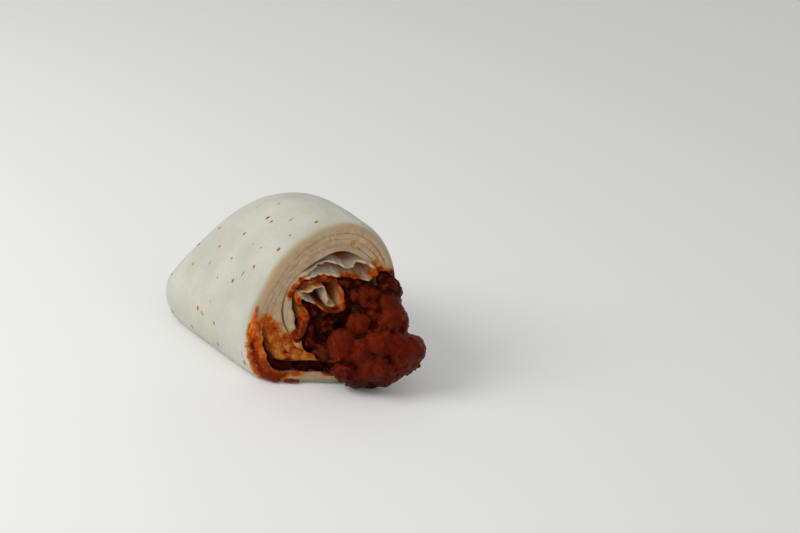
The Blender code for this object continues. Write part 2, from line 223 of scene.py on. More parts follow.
def spiral(turns):
    """A point of the sheet's middle line a number of turns in, and half its thickness there."""
    angle = SEAM_ANGLE - 2 * math.pi * turns
    pitch = PITCH + TOP_SLACK * plateau(angle, *TOP_ARC)
    depth = (0.5 * FULLNESS + layer_at(turns)) * pitch
    if turns > GROOVE_TURN:
        depth += GROOVE_DEPTH * plateau(angle, *GROOVE_ARC)
    apart = FAN * plateau(angle, *FAN_ARC) if turns > GROOVE_TURN else 0.0
    depth += apart * max(0, math.floor(turns) - FAN_TURN)
    if turns > CRACK_TURN:
        depth += CRACK * plateau(angle, *CRACK_ARC)
    return inside(angle, depth), 0.5 * FULLNESS * (pitch + FAN_FILLED * apart)

# %% Turns and free end as one line
def curve_through(points, pieces=24):
    """A smooth curve through points, as a close row of points."""
    ends = [points[0] * 2 - points[1]] + list(points) + [points[-1] * 2 - points[-2]]
    row = []
    for before, start, end, after in zip(ends, ends[1:], ends[2:], ends[3:]):
        for step in range(pieces):
            t = step / pieces
            row.append(0.5 * (2 * start + (end - before) * t
                              + (2 * before - 5 * start + 4 * end - after) * t * t
                              + (3 * start - before - 3 * end + after) * t * t * t))
    row.append(points[-1])
    return row


def spaced(row, step):
    """A line of (point, half thickness, ...) again, with its points an even step apart."""
    lengths = [0.0]
    for a, b in zip(row, row[1:]):
        lengths.append(lengths[-1] + (b[0] - a[0]).length)
    count = max(2, round(lengths[-1] / step))
    result, place = [], 0
    for i in range(count + 1):
        want = lengths[-1] * i / count
        while place < len(row) - 2 and lengths[place + 1] < want:
            place += 1
        share = (want - lengths[place]) / max(lengths[place + 1] - lengths[place], 1e-9)
        a, b = row[place], row[place + 1]
        result.append(tuple(u + (v - u) * share for u, v in zip(a, b)))
    return result


def whole_line(samples=240):
    """The whole sheet as a row of (point, half its thickness, how free of the turns it is, turns)."""
    count = round(SPIRAL_TURNS * samples)
    row = []
    for i in range(count + 1):
        turns = SPIRAL_TURNS * i / count
        row.append((*spiral(turns), 0.0, turns))
    inner = curve_through([row[-LEAD_IN][0], row[-1][0]] + [Vector(p) for p in INNER_END])
    start = min(range(len(inner)), key=lambda i: (inner[i] - row[-1][0]).length)
    tight = row[-1][1]
    for i, point in enumerate(inner[start + 1:]):
        free = smooth(i / FREE_EASE)
        bunch = BUNCH * smooth(BUNCH_STEEP * (1.0 - (point - BUNCH_PLACE).length / BUNCH_RADIUS))
        row.append((point, tight + (FREE_HALF + bunch - tight) * free, free, SPIRAL_TURNS))
    return row


line = whole_line()
sheet_length = sum((b[0] - a[0]).length for a, b in zip(line, line[1:]))
print("sheet:", round(sheet_length), "mm long from seam to curl")

# %% [markdown]
# ## Where the sauce went
#
# Sauce runs out of the cut and soaks the bread that it touches: the lip low on the left, the fold, the curl
# and the right side, where the filling came out. Each stain is a row of overlapping round patches on the
# section. A patch has a strength and fades towards the back of the roll. The strongest one counts, and the
# amount at each vertex is kept as an attribute. The material then breaks its edge up and picks the colour.

# %% Stains
STAINS = (      # (right, up, radius, strength, reach back)
    (-29.5, 23.0, 5.0, 0.9, 1.8), (-30.5, 19.0, 6.0, 1.0, 2.2), (-31.5, 13.0, 6.5, 1.1, 2.6),
    (-29.0, 6.5, 6.5, 1.1, 3.0), (-24.0, 3.5, 6.5, 1.1, 3.4), (-18.5, 2.5, 5.0, 1.0, 3.0),
    (-12.5, 3.5, 4.0, 0.8, 3.0), (-24.5, 26.5, 4.5, 0.72, 3.0), (-21.5, 22.0, 6.0, 0.78, 6.0),
    (-20.0, 16.5, 6.5, 0.70, 8.0), (-16.0, 12.0, 6.5, 0.66, 8.0), (-10.5, 12.0, 6.5, 0.64, 8.0),
    (-4.4, 12.0, 6.5, 0.7, 8.0), (2.0, 12.0, 7.0, 0.9, 8.0), (-16.0, 18.5, 4.5, 0.85, 9.0),
    (-14.0, 14.0, 3.5, 0.9, 9.0), (-17.2, 12.3, 1.4, 1.1, 2.0),
    # These five patches, reaching 30 mm back, stain the groove's walls nearly black: sauce, and a painted
    # shade deep in the groove.
    (-15.0, 7.0, 4.0, 1.4, 30.0), (-8.0, 6.0, 4.0, 1.4, 30.0), (-22.4, 10.5, 4.0, 1.4, 30.0),
    (-26.0, 16.0, 3.0, 1.3, 30.0), (0.0, 5.5, 5.0, 1.4, 30.0),
    (-13.4, 36.6, 3.2, 1.1, 4.0), (-12.0, 39.8, 2.8, 1.1, 4.0), (-9.6, 42.6, 2.6, 0.95, 3.0),
    (-9.4, 40.6, 2.6, 1.1, 8.0), (-7.4, 41.5, 2.6, 1.0, 8.0), (-5.2, 42.5, 2.6, 1.0, 8.0),
    (-3.0, 43.2, 2.6, 1.05, 8.0), (-0.8, 43.5, 2.6, 1.05, 8.0), (1.4, 43.3, 2.6, 1.0, 8.0),
    (3.6, 42.6, 2.8, 0.95, 8.0), (6.0, 44.2, 2.8, 0.9, 4.0), (9.0, 44.2, 3.4, 0.9, 4.0),
    (12.0, 43.8, 2.8, 0.8, 4.0), (5.3, 39.4, 2.8, 0.7, 6.0), (5.7, 36.6, 2.8, 0.8, 6.0),
    (5.0, 33.8, 3.0, 1.0, 6.0), (3.0, 31.6, 3.0, 1.15, 6.0), (0.4, 30.8, 3.0, 1.15, 6.0),
    (-2.2, 31.6, 2.8, 1.05, 6.0), (-4.6, 33.0, 2.2, 0.75, 6.0), (2.0, 37.0, 5.0, 0.5, 30.0),
    (-11.2, 20.4, 4.4, 1.1, 9.0), (-9.2, 23.2, 4.0, 1.05, 8.0), (-8.6, 26.6, 4.0, 1.0, 8.0),
    (-9.2, 29.8, 3.4, 0.95, 6.0), (-10.2, 32.8, 2.8, 0.95, 6.0), (-11.2, 34.8, 2.4, 0.9, 6.0),
    (17.5, 46.9, 3.8, 0.85, 6.0), (22.0, 48.0, 4.4, 1.0, 4.0), (26.0, 46.0, 5.4, 1.3, 4.0),
    (28.5, 41.0, 6.0, 1.2, 4.0), (29.0, 33.0, 7.0, 1.2, 4.0), (27.0, 24.0, 8.0, 1.2, 4.0),
    (19.5, 51.8, 3.2, 0.55, 2.5), (10.6, 59.9, 2.4, 0.5, 2.0), (12.4, 58.2, 0.9, 0.9, 2.0),
    (-7.1, 54.2, 1.1, 0.6, 2.0), (22.0, 14.0, 12.0, 1.1, 6.0), (10.0, 8.0, 7.0, 0.9, 3.0),
)


STAIN_STEEP = 1.6          # over 1 a patch keeps its full strength round its middle


def sauce_at(right, up, behind):
    """How much sauce the bread holds at a place of the section, this far behind the cut."""
    amount = 0.0
    for x, z, radius, strength, reach in STAINS:
        far = math.hypot(right - x, up - z) / radius
        if far < 1.0 and behind < reach:
            fading = math.sqrt(1.0 - behind / reach)
            amount = max(amount, strength * smooth(STAIN_STEEP * (1.0 - far)) * fading)
    return amount


print(len(STAINS), "patches of sauce, the strongest", max(stain[3] for stain in STAINS))

# %% [markdown]
# ## From a grid to a rolled sheet
#
# A sheet of bread has two faces that meet round a cut edge. One flat grid can be all of it: its columns
# follow the sheet's line, and its rows run forward along the outer face, round the edge and back along the
# inner face. So the cut edge is round and has no seam. `create_grid` makes the grid, and a rule for its
# column and row then lays each vertex in place. The knife presses the outer layers inward, and each edge
# stands a little more or less far out, because bread tears as much as it cuts.

# %% The sheet as a folded grid
EDGE_RADIUS, LOOSE_RADIUS = 0.12, 0.34     # roundness of a layer's cut edge, in the turns and free
SQUEEZE = 3.4              # how far the knife pushes in the skin at the cut,
SQUEEZE_BACK = 6.0         # how far back from the cut that reaches
SQUEEZE_DEPTH = 10.0       # and how deep under the skin
THICK_PLACES = 11.0        # size of the places where the bread is thicker or thinner
RIM = [math.pi * (i / 6 - 0.5) for i in range(7)]      # half a turn round the cut edge
Column = namedtuple("Column", "point outward half free turns along depth")


def columns_of(row, taper, start):
    """The grid's columns along a line of the sheet that starts this far along it, thin at both its ends."""
    places = [0.0]
    for a, b in zip(row, row[1:]):
        places.append(places[-1] + (b[0] - a[0]).length)
    columns = []
    for i, (point, half, free, turns) in enumerate(row):
        ahead = (row[min(i + 1, len(row) - 1)][0] - row[max(i - 1, 0)][0]).normalized()
        thin = math.sqrt(1.0 - (1.0 - clamp(min(places[i], places[-1] - places[i]) / taper)) ** 2)
        columns.append(Column(point, Vector((-ahead.y, ahead.x)), half * thin, free, turns,
                              start + places[i], PITCH * layer_at(turns)))
    return columns


def squeezed(depth, behind):
    """How far in the knife pressed a layer: the skin bends over towards the cut in a quarter ellipse."""
    near = clamp(1.0 - (behind + EDGE_RADIUS) / SQUEEZE_BACK)
    return SQUEEZE * (1.0 - math.sqrt(1.0 - near * near)) * clamp(1.0 - depth / SQUEEZE_DEPTH)


def thickness(column, behind):
    """Half the bread's thickness at a place: it is rolled out a little unevenly."""
    uneven = 2.0 * UNEVEN * ripple((column.along, behind, 5.0 * column.depth), THICK_PLACES)
    return column.half * (1.0 + uneven)

# %% How a cut edge wavers
TIGHT_WAVERS = ((0.22, 6.0), (0.10, 1.6))      # (height, length) of a long and a short waver in the turns,
LOOSE_WAVERS = ((1.8, 8.0), (1.6, 2.8))        # and of the free end's,
FRAY = (1.1, 1.2)          # which also frays where it is thin
EDGE_BACK = 0.15           # an edge lies this far behind the knife's plane on average
CURL_AHEAD, CURL_FROM, CURL_EASE = 1.6, 800.0, 20.0    # the curl stands out, from this far along the sheet


def waver(size, *place):
    """Noise of a (height, length) along an edge. Numbers after the first only keep one noise off another."""
    height, length = size
    return height * ripple(place, length)


def edge_waver(column):
    """How far back from the knife's plane the edge lies, at a place along the sheet."""
    at = column.along
    thin = min(1.0, (FREE_HALF / max(column.half, FREE_HALF)) ** 2)
    tight = waver(TIGHT_WAVERS[0], at, column.turns * 9.0, 0.0) + waver(TIGHT_WAVERS[1], at, 0.0, 3.0)
    loose = waver(LOOSE_WAVERS[0], at, 5.0, 0.0) + waver(LOOSE_WAVERS[1], at, 0.0, 9.0)
    loose += waver(FRAY, at, 2.0, 0.0) * thin
    loose -= CURL_AHEAD * smooth((at - CURL_FROM) / CURL_EASE)
    return tight + (loose - tight) * column.free + EDGE_BACK

# %% The sheet's mesh, and what its material needs to know
UV_UNIT = 100.0            # millimetres of bread to one unit of the UV map
WELD = 0.002 * MM          # vertices of the border that are closer than this are one
LIP_WIDTH = 3.2            # how far back from the cut the skin has gone tan
LIP_TAN, SEAM_TAN = 0.8, 0.5           # "cut_edge" beside the cut and the seam: the cut itself has 1
# The 'within' values set how much painted shade the bread gets inside the roll, more further back.
WITHIN_FROM = 1.02         # turns, from where the sheet's outer face lies inside the roll, too
WITHIN, WITHIN_BACK = 0.4, 9.0         # "within" at the cut, and how far back it has grown to its full value,
FULL_FROM, LITTLE_MORE, MUCH_MORE = 1.3, 0.2, 0.6      # which is this much more, before and after these turns
LOOSE_AFTER_CRACK, CRACK_EASE = 0.8, 0.15      # "loose" of the layer that has come off: the free end has 1

# %% Folding a grid
def grid_columns(bm, columns, rows):
    """A new flat grid in a mesh, as a list of its columns of vertices."""
    made = bmesh.ops.create_grid(bm, x_segments=columns - 1, y_segments=rows - 1, size=1.0)["verts"]
    made.sort(key=lambda v: (round(v.co.x, 6), round(v.co.y, 6)))
    return [made[i * rows:(i + 1) * rows] for i in range(columns)]


def sheet_mesh(name, columns, marks, lay):
    """A sheet from a grid: marks are its rows from front to back, lay(...) places a vertex of them."""
    # A row is (mark, side of the bread, radii behind its edge), and those of the rim have no mark.
    rows = [(mark, -1.0, 1.0) for mark in reversed(marks)]
    rows += [(None, math.sin(turn), 1.0 - math.cos(turn)) for turn in RIM]
    rows += [(mark, 1.0, 1.0) for mark in marks]
    bm = bmesh.new()
    uv = bm.loops.layers.uv.new("sheet")
    sauce = bm.verts.layers.float.new("sauce")
    edge = bm.verts.layers.float.new("cut_edge")
    within = bm.verts.layers.float.new("within")
    loose = bm.verts.layers.float.new("loose")
    place = {}
    for column, verts in zip(columns, grid_columns(bm, len(columns), len(rows))):
        for (mark, side, radii), vert in zip(rows, verts):
            radius = EDGE_RADIUS + (LOOSE_RADIUS - EDGE_RADIUS) * column.free
            laid, behind = lay(column, mark, side, radii * radius)
            vert.co = to_model(laid)
            place[vert] = (column.along / UV_UNIT, behind / UV_UNIT)
            spot = column.point - column.outward * side * column.half
            vert[sauce] = sauce_at(spot.x, spot.y, behind)
            tanned = LIP_TAN * clamp(1.0 - (behind - EDGE_RADIUS) / LIP_WIDTH) if abs(side) == 1.0 else 1.0
            vert[edge] = max(tanned, SEAM_TAN * clamp(1.0 - column.along / LIP_WIDTH))
            # 'within' marks where the material paints shade on the bread inside the roll.
            if side > 0.0 or column.turns > WITHIN_FROM:
                more = MUCH_MORE if column.turns > FULL_FROM else LITTLE_MORE
                vert[within] = WITHIN + more * smooth(behind / WITHIN_BACK)
            cracked = smooth((column.turns - CRACK_TURN) / CRACK_EASE)
            vert[loose] = max(column.free, LOOSE_AFTER_CRACK * cracked)
    for face in bm.faces:
        for loop in face.loops:
            loop[uv].uv = place[loop.vert]
    bmesh.ops.remove_doubles(bm, verts=[v for v in bm.verts if v.is_boundary], dist=WELD)
    bmesh.ops.recalc_face_normals(bm, faces=bm.faces)
    return as_object(name, bm)


def as_object(name, bm):
    """A smooth-shaded object at the origin, made of a mesh, with its open edges counted."""
    mesh = bpy.data.meshes.new(name)
    bm.to_mesh(mesh)
    bm.free()
    mesh.shade_smooth()
    thing = bpy.data.objects.new(name, mesh)
    bpy.context.scene.collection.objects.link(thing)
    open_edges = sum(1 for count in edge_counts(mesh).values() if count != 2)
    print(name, len(mesh.polygons), "faces,", open_edges, "open edges")
    return thing


def edge_counts(mesh):
    """How many faces meet at each edge."""
    counts = {}
    for polygon in mesh.polygons:
        for key in polygon.edge_keys:
            counts[key] = counts.get(key, 0) + 1
    return counts

# %% [markdown]
# ## The outer turn and the closed end
#
# The skin is the outermost turn. It starts at the seam, where the sheet's edge lies open over the turn below,
# goes round once and dips under itself. At the far end it closes: the bread was folded in and rolled over, so
# it gathers towards a flat middle in a few pleats. The pleats are ridges at a few places round the end, and
# they grow as the end closes.

# %% Outer turn
OUTER_STEP, OUTER_TURNS, OUTER_TAPER = 0.9, 1.12, 1.2
NEAR, NEAR_POWER = 7.0, 1.4    # rows this close to the cut keep their distance from it
SIDE_ROWS, CLOSING_ROWS, CAP_ROWS = 50, 14, 12
DOME_X = FRONT_REACH - DOME_START * (LENGTH + FRONT_REACH)
PLEATS = (      # (turns from the seam, height)
    (0.06, 1.3), (0.19, 1.0), (0.33, 1.5), (0.47, 0.9), (0.62, 1.2), (0.78, 1.4), (0.9, 0.9),
)
PLEAT_WIDTH = 0.022        # of a turn
PLEAT_PULL, PLEAT_LEVEL = 0.9, 0.6     # a pleat stands out, and the end sinks in between them
SKIN_BUMPS = ((0.28, 16.0, 3.0), (0.10, 5.0, 5.0))     # (height, size, which noise)
THINNED = 0.1              # share of its thickness that bread loses for each millimetre it is pushed in
END_DIMPLE = 0.6
CLOSING_LENGTH, CAP_LENGTH = 14.0, 20.0    # way over the rounded end and to its middle, for the UV map
end_ring = [shaped(-LENGTH, *inside(math.radians(a), 0.0)) for a in range(0, 360, 5)]
END_CENTRE = sum(end_ring, Vector()) / len(end_ring)

# %% Laying the outer turn
def near_rows(count):
    """Rows close behind the cut: near each other at its edge, then wider apart."""
    return [NEAR * ((i + 1) / count) ** NEAR_POWER for i in range(count)]


def lay_outer(column, mark, side, radius):
    """Where a vertex of the skin lies, and how far behind the cut."""
    near, share, closing, cap = mark or (0.0, 0.0, 0.0, 0.0)
    behind = near + radius
    push = squeezed(column.depth, behind)
    half = thickness(column, behind) if not closing else column.half
    spot = column.point - column.outward * (push + side * half * (1.0 - THINNED * push))
    start = cut_x(spot.x, spot.y) - edge_waver(column) - behind
    x = start + (DOME_X - start) * share + (-LENGTH - DOME_X) * math.sin(closing * math.pi / 2)
    laid = shaped(x, spot.x, spot.y)
    pleat = sum(high * math.exp(-(((column.turns - at + 0.5) % 1.0 - 0.5) / PLEAT_WIDTH) ** 2)
                for at, high in PLEATS)
    laid.x -= PLEAT_PULL * (pleat - PLEAT_LEVEL) * smooth(closing) * (1.0 - cap)
    bump = sum(high * ripple(laid, size, seed) for high, size, seed in SKIN_BUMPS)
    bump *= smooth(behind / NEAR) * (1.0 - cap)
    laid += Vector((0.0, column.outward.x, column.outward.y)) * bump
    if cap:
        laid = laid.lerp(Vector((-LENGTH, *END_CENTRE.yz)), cap)
        laid.x -= END_DIMPLE * math.sin(math.pi * cap)
    laid.x += (column.depth + (1.0 + side) * column.half) * smooth(closing) * (1.0 - cap)
    return laid, behind + share * (start - DOME_X) + CLOSING_LENGTH * closing + CAP_LENGTH * cap


# A row is (near the cut, share of the side, share of the closing, share of the cap).
outer_rows = [(near, 0.0, 0.0, 0.0) for near in near_rows(9)]
outer_rows += [(NEAR, (i + 1) / SIDE_ROWS, 0.0, 0.0) for i in range(SIDE_ROWS)]
outer_rows += [(NEAR, 1.0, (i + 1) / CLOSING_ROWS, 0.0) for i in range(CLOSING_ROWS)]
outer_rows += [(NEAR, 1.0, 1.0, (i + 1) / CAP_ROWS) for i in range(CAP_ROWS)]
outer_line = spaced([p for p in line if p[3] <= OUTER_TURNS and p[2] == 0.0], OUTER_STEP)
outer_columns = columns_of(outer_line, OUTER_TAPER, 0.0)
outer = sheet_mesh("outer_turn", outer_columns, outer_rows, lay_outer)

# %% [markdown]
# ## The inner turns and the free end
#
# The rest of the sheet shows only at the cut and a little way into the hollows, so its rows are close
# together near the cut and far apart behind. The free end is thinner and its edge wavers more. Behind the
# edge it also strays a little, as a limp sheet does, and the strand over the curl rises to the layers above.

# %% Inner turns
TIGHT_STEP, FREE_STEP, INNER_TAPER = 1.25, 0.45, 0.6
SHEET_BACK, BACK_ROWS, BACK_POWER = -73.0, 13, 1.5
SWAY, SWAY_SIZE = 1.1, 9.0     # how far the free end strays behind the edge, in folds of this size,
SWAY_BACK, SWAY_FAR = 14.0, 40.0       # fully so this far back: the rows past the near ones count as that far
RISE = 4.2                 # how far it rises to the layers above, so that its hollows close,
RISE_BACK, RISE_FAR = 9.0, 30.0        # the same two distances, for the rise
RISE_FROM, RISE_OVER = 30.0, 7.0       # the height in the section where the rise sets in,
LESS, LESS_FROM, LESS_OVER = 0.45, 44.5, 3.5       # and where there is less room, so that it rises less
GRIT = (0.06, 2.2)         # (height, size) of the bread's fine unevenness

# %% Laying the inner turns
def rise_of(point):
    """The share of the rise at a place of the free end: most of it on the strand over the curl."""
    less = LESS * smooth((point.y - LESS_FROM) / LESS_OVER)
    return smooth((point.y - RISE_FROM) / RISE_OVER) * (1.0 - less)


def lay_inner(column, mark, side, radius):
    """Where a vertex of the inner turns lies, and how far behind the cut."""
    near, share = mark or (0.0, 0.0)
    behind = near + radius
    push = squeezed(column.depth, behind) * (1.0 - column.free)
    half = thickness(column, behind) * (1.0 - THINNED * push) if share < 1.0 else 0.0
    stray = SWAY * column.free * smooth((behind + SWAY_FAR * share) / SWAY_BACK)
    stray *= ripple((column.point.x, column.point.y, 3.0 * behind + 60.0 * share), SWAY_SIZE, 7.0)
    spot = column.point - column.outward * (push + side * half + stray)
    start = cut_x(spot.x, spot.y) - edge_waver(column) - behind
    spot.y += RISE * column.free * rise_of(column.point) * smooth((behind + RISE_FAR * share) / RISE_BACK)
    laid = shaped(start + (SHEET_BACK - start) * share, spot.x, spot.y)
    rough = waver(GRIT, column.along, behind, 2.0) * smooth(behind / 2.0)
    laid += Vector((0.0, column.outward.x, column.outward.y)) * rough * (1.0 if share < 1.0 else 0.0)
    return laid, behind + share * (start - SHEET_BACK)


# A row is (near the cut, share of the way to the back).
inner_rows = [(near, 0.0) for near in near_rows(11)]
inner_rows += [(NEAR, ((i + 1) / BACK_ROWS) ** BACK_POWER) for i in range(BACK_ROWS)]
tight_line = spaced([p for p in line if p[3] >= OUTER_TURNS and p[2] == 0.0], TIGHT_STEP)
free_line = spaced([p for p in line if p[2] > 0.0], FREE_STEP)
inner_columns = columns_of(tight_line + free_line, INNER_TAPER, outer_columns[-1].along)
inner = sheet_mesh("inner_turns", inner_columns, inner_rows, lay_inner)
for piece in (outer, inner):
    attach(piece, "root")
    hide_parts("tortilla")

# %% [markdown]
# ## The filling
#
# Chili con carne is minced meat in a thick sauce: crumbs of meat of one to five millimetres, clumped into
# soft lumps. Piling real balls and fusing them gives that look better than noise on one surface. Rough balls
# make the big lumps, and many small ones are set into their skins. All are melted into one skin later on.

# %% Lumps and crumbs of meat
LUMPS = (       # (right, up, out of the cut, radius)
    (3.4, 18.8, 3.6, 8.6), (15.2, 36.0, -1.0, 6.2), (22.2, 16.2, 6.2, 8.6), (11.8, 12.6, 6.8, 8.3),
    (22.4, 27.6, 2.6, 8.4), (3.3, 9.2, 5.0, 6.6), (0.6, 23.6, -2.8, 5.2), (12.4, 25.2, 0.6, 7.6),
    (23.4, 38.4, -2.0, 5.8), (27.2, 18.8, 5.8, 7.3), (-4.6, 17.6, -3.0, 4.8), (-2.0, 14.6, -0.4, 4.8),
    (12.2, 30.4, -2.4, 5.0), (21.8, 34.0, -0.4, 6.7), (16.9, 21.3, 5.4, 8.6), (26.8, 13.0, 4.8, 5.9),
    (-5.2, 21.8, -2.0, 2.9), (-4.4, 25.6, -3.0, 2.8), (1.6, 25.0, -1.6, 3.6), (12.4, 37.2, -1.0, 4.0),
    (8.5, 4.6, 0.4, 5.6), (15.5, 4.8, 0.4, 6.0), (16.4, 38.6, 0.9, 3.9), (16.2, 35.0, 1.6, 4.3),
    (16.0, 31.4, 2.4, 4.2), (25.0, 42.0, -1.2, 4.0), (25.6, 35.4, -1.4, 4.4), (8.4, 17.6, 6.6, 6.6),
    (15.6, 10.2, 7.2, 6.2), (21.0, 22.0, 5.8, 7.2), (7.6, 7.4, 4.4, 6.2), (20.2, 10.0, 5.2, 6.0),
    (22.4, 44.4, -2.2, 3.0), (26.6, 38.8, -1.8, 3.8),
)
LUMP_FIT = 0.96            # the lumps are made this much smaller, because the crumbs stand out of them
CRUMB_COUNT = 820
CRUMB_SIZES = (0.6, 1.35)  # radii
CRUMB_SINK = 0.89          # of a lump's radius, where a crumb's middle sits
LUMP_ROUGH, CRUMB_ROUGH = 0.12, 0.3
LUMP_ROUNDS, CRUMB_ROUNDS, TINY_ROUNDS = 3, 2, 1       # subdivisions of a ball
STRETCH = (0.8, 1.2)
BATCH = 30                 # balls made in a mesh of their own, because each takes longer in a large mesh
SEED = 7
rng = random.Random(SEED)

# %% Balls
def beyond_cut(right, up, out):
    """A place out of the knife's plane, from its place on the section."""
    return Vector((cut_x(right, up) + out / CUT_NORMAL.x, right, up))


def add_ball(bm, centre, radius, roughness, rounds):
    """A rough ball, a little longer one way, added to a mesh in the section's millimetres."""
    stretch = [rng.uniform(*STRETCH) for _ in range(3)]
    ball = bmesh.ops.create_icosphere(bm, subdivisions=rounds, radius=radius)["verts"]
    for vert in ball:
        place = vert.co / radius + centre
        swell = 1.0 + roughness * (noise.noise(place * 1.1) + 0.6 * noise.noise(place * 2.7))
        vert.co = centre + Vector(a * b for a, b in zip(vert.co, stretch)) * swell


def added(bm, other):
    """All of another mesh, added to this one."""
    mesh = bpy.data.meshes.new("part")
    other.to_mesh(mesh)
    other.free()
    bm.from_mesh(mesh)
    bpy.data.meshes.remove(mesh)


def piled(balls):
    """One mesh of many (centre, radius, roughness, rounds). A few at a time is faster than one by one."""
    pile = bmesh.new()
    for first in range(0, len(balls), BATCH):
        few = bmesh.new()
        for ball in balls[first:first + BATCH]:
            add_ball(few, *ball)
        added(pile, few)
    print(len(balls), "balls:", len(pile.faces), "faces before they melt together")
    return pile

# %% The heap
balls = [(beyond_cut(right, up, out), radius * LUMP_FIT, LUMP_ROUGH, LUMP_ROUNDS)
         for right, up, out, radius in LUMPS]
for _ in range(CRUMB_COUNT):
    right, up, out, radius = rng.choice(LUMPS)
    facing = Vector((rng.uniform(-0.1, 1.0), rng.uniform(-1.0, 1.0), rng.uniform(-0.6, 1.0))).normalized()
    centre = beyond_cut(right, up, out) + facing * radius * CRUMB_SINK
    balls.append((centre, rng.uniform(*CRUMB_SIZES), CRUMB_ROUGH, TINY_ROUNDS))
heap = piled(balls)

# %% [markdown]
# ## The filling inside the roll
#
# Between the heap and the fold one looks into the roll, where the filling's front is a rough, dark wall of
# crumbs. The filling inside is a plain core that follows the last turn's inner side and then goes round the
# free end. It is a tube from a grid whose first and last columns are welded. Crumbs cover its front, and more
# crumbs lie in the groove between the outer layers and the inner ones.

# %% Core
CORE_TURNS, CORE_STEPS = (3.88, 4.40), 10      # the core follows the inner side of these turns in ten steps,
CORE_CLEAR = 0.3           # this far from it
CORE_RECESS, CORE_BACK = 2.0, -55.0    # how far the core's front lies behind the cut, and where it ends
CORE_MIDDLE = Vector((8.0, 25.0))
CORE_ROWS = (   # (share of the way out from the middle, share of the way back)
    (0.0, 0.0), (0.5, 0.0), (0.85, 0.0), (1.0, 0.04), (1.0, 0.12), (1.0, 0.3), (1.0, 0.6), (1.0, 1.0),
    (0.0, 1.0),
)
CORE_EDGE = (   # (right, up), round the free end
    (-13.2, 18.4), (-10.9, 18.0), (-8.6, 20.4), (-7.6, 24.0), (-7.2, 27.2), (-7.7, 30.2), (-8.6, 32.4),
    (-6.6, 32.8), (-4.6, 31.7), (-2.6, 30.5), (-0.6, 29.7), (1.6, 29.4), (4.2, 30.4), (6.4, 33.2),
    (7.0, 36.2), (6.7, 39.2), (6.2, 42.6), (12.6, 42.2), (16.2, 41.9),
)
core_line = []
for i in range(CORE_STEPS + 1):
    at = CORE_TURNS[0] + (CORE_TURNS[1] - CORE_TURNS[0]) * i / CORE_STEPS
    (point, half), (ahead, _) = spiral(at), spiral(at + 0.002)
    ahead = (ahead - point).normalized()
    core_line.append(point + Vector((ahead.y, -ahead.x)) * (half + CORE_CLEAR))
core_line += [Vector(p) for p in CORE_EDGE]

core = bmesh.new()
for i, verts in enumerate(grid_columns(core, len(core_line) + 1, len(CORE_ROWS))):
    for (spread, share), vert in zip(CORE_ROWS, verts):
        point = CORE_MIDDLE.lerp(core_line[i % len(core_line)], spread)
        front = cut_x(*point) - CORE_RECESS
        vert.co = shaped(front + (CORE_BACK - front) * share, *point)
bmesh.ops.remove_doubles(core, verts=core.verts, dist=0.01)
bmesh.ops.recalc_face_normals(core, faces=core.faces)
print("core:", len(core.faces), "faces")

# %% Crumbs on the core's front and in the groove
FRONT_CRUMBS, FRONT_SIZES = 420, (1.0, 2.2)
FRONT_AREA = ((-16.0, 28.0), (5.0, 44.0))      # (right, up) that the core's front lies in
SUNK, STANDS_OUT = 0.4, 1.6    # share of its size that a crumb is sunk, and how far out some of them come
GROOVE_CRUMBS, GROOVE_SIZES = 190, (0.8, 1.7)
GROOVE_SPAN, GROOVE_DEPTHS, GROOVE_SUNK = (-172, -25), (4.6, 8.4), (-6.0, -3.2)


def within_outline(right, up, outline):
    """Whether a point is inside a closed outline: a ray from it crosses that an odd number of times."""
    crossings = 0
    for a, b in zip(outline, outline[1:] + outline[:1]):
        if (a.y > up) != (b.y > up) and right < a.x + (b.x - a.x) * (up - a.y) / (b.y - a.y):
            crossings += 1
    return crossings % 2 == 1


balls = []
while len(balls) < FRONT_CRUMBS:
    right, up = rng.uniform(*FRONT_AREA[0]), rng.uniform(*FRONT_AREA[1])
    if within_outline(right, up, core_line):
        size = rng.uniform(*FRONT_SIZES)
        out = -CORE_RECESS - SUNK * size + rng.uniform(0.0, STANDS_OUT)
        balls.append((beyond_cut(right, up, out), size, CRUMB_ROUGH, CRUMB_ROUNDS))
for _ in range(GROOVE_CRUMBS):
    spot = inside(math.radians(rng.uniform(*GROOVE_SPAN)), rng.uniform(*GROOVE_DEPTHS))
    centre = beyond_cut(*spot, rng.uniform(*GROOVE_SUNK))
    balls.append((centre, rng.uniform(*GROOVE_SIZES), CRUMB_ROUGH, CRUMB_ROUNDS))
front = piled(balls)

# %% [markdown]
# ## Melting the crumbs together
#
# A voxel remesh melts the balls into one skin, as sauce does, and a few rounds of smoothing fill its creases.
# Minced meat keeps the shape of short, torn threads, so the skin then gets rounded grains that meet in sharp
# creases: the distance to the nearest of many scattered points gives just that. Behind the knife's plane the
# bread is in the way. There the heap is pressed flat on the plane, and only what spilled out past the skin
# keeps its form.

# %% Melt
VOXEL = 0.45
MELT_ROUNDS = 9
GRAINS = ((2.6, 0.42), (1.2, 0.32))    # (size, height) of the rounded grains
GRAIN_LEVEL = 0.45         # the distance, in grains, at which the skin keeps its height


def melted(bm, name):
    """A mesh of overlapping balls, fused into one skin of rounded grains."""
    thing = as_object(name, bm)
    melt = thing.modifiers.new("melt", "REMESH")
    melt.mode, melt.voxel_size = "VOXEL", VOXEL
    graph = bpy.context.evaluated_depsgraph_get()
    fused = bmesh.new()
    fused.from_mesh(thing.evaluated_get(graph).to_mesh())
    bpy.data.objects.remove(thing)
    softened(fused, MELT_ROUNDS)
    fused.normal_update()
    lift = [v.normal * sum(high * (GRAIN_LEVEL - noise.voronoi(v.co / size)[0][0]) for size, high in GRAINS)
            for v in fused.verts]
    for vert, move in zip(fused.verts, lift):
        vert.co += move
    return fused


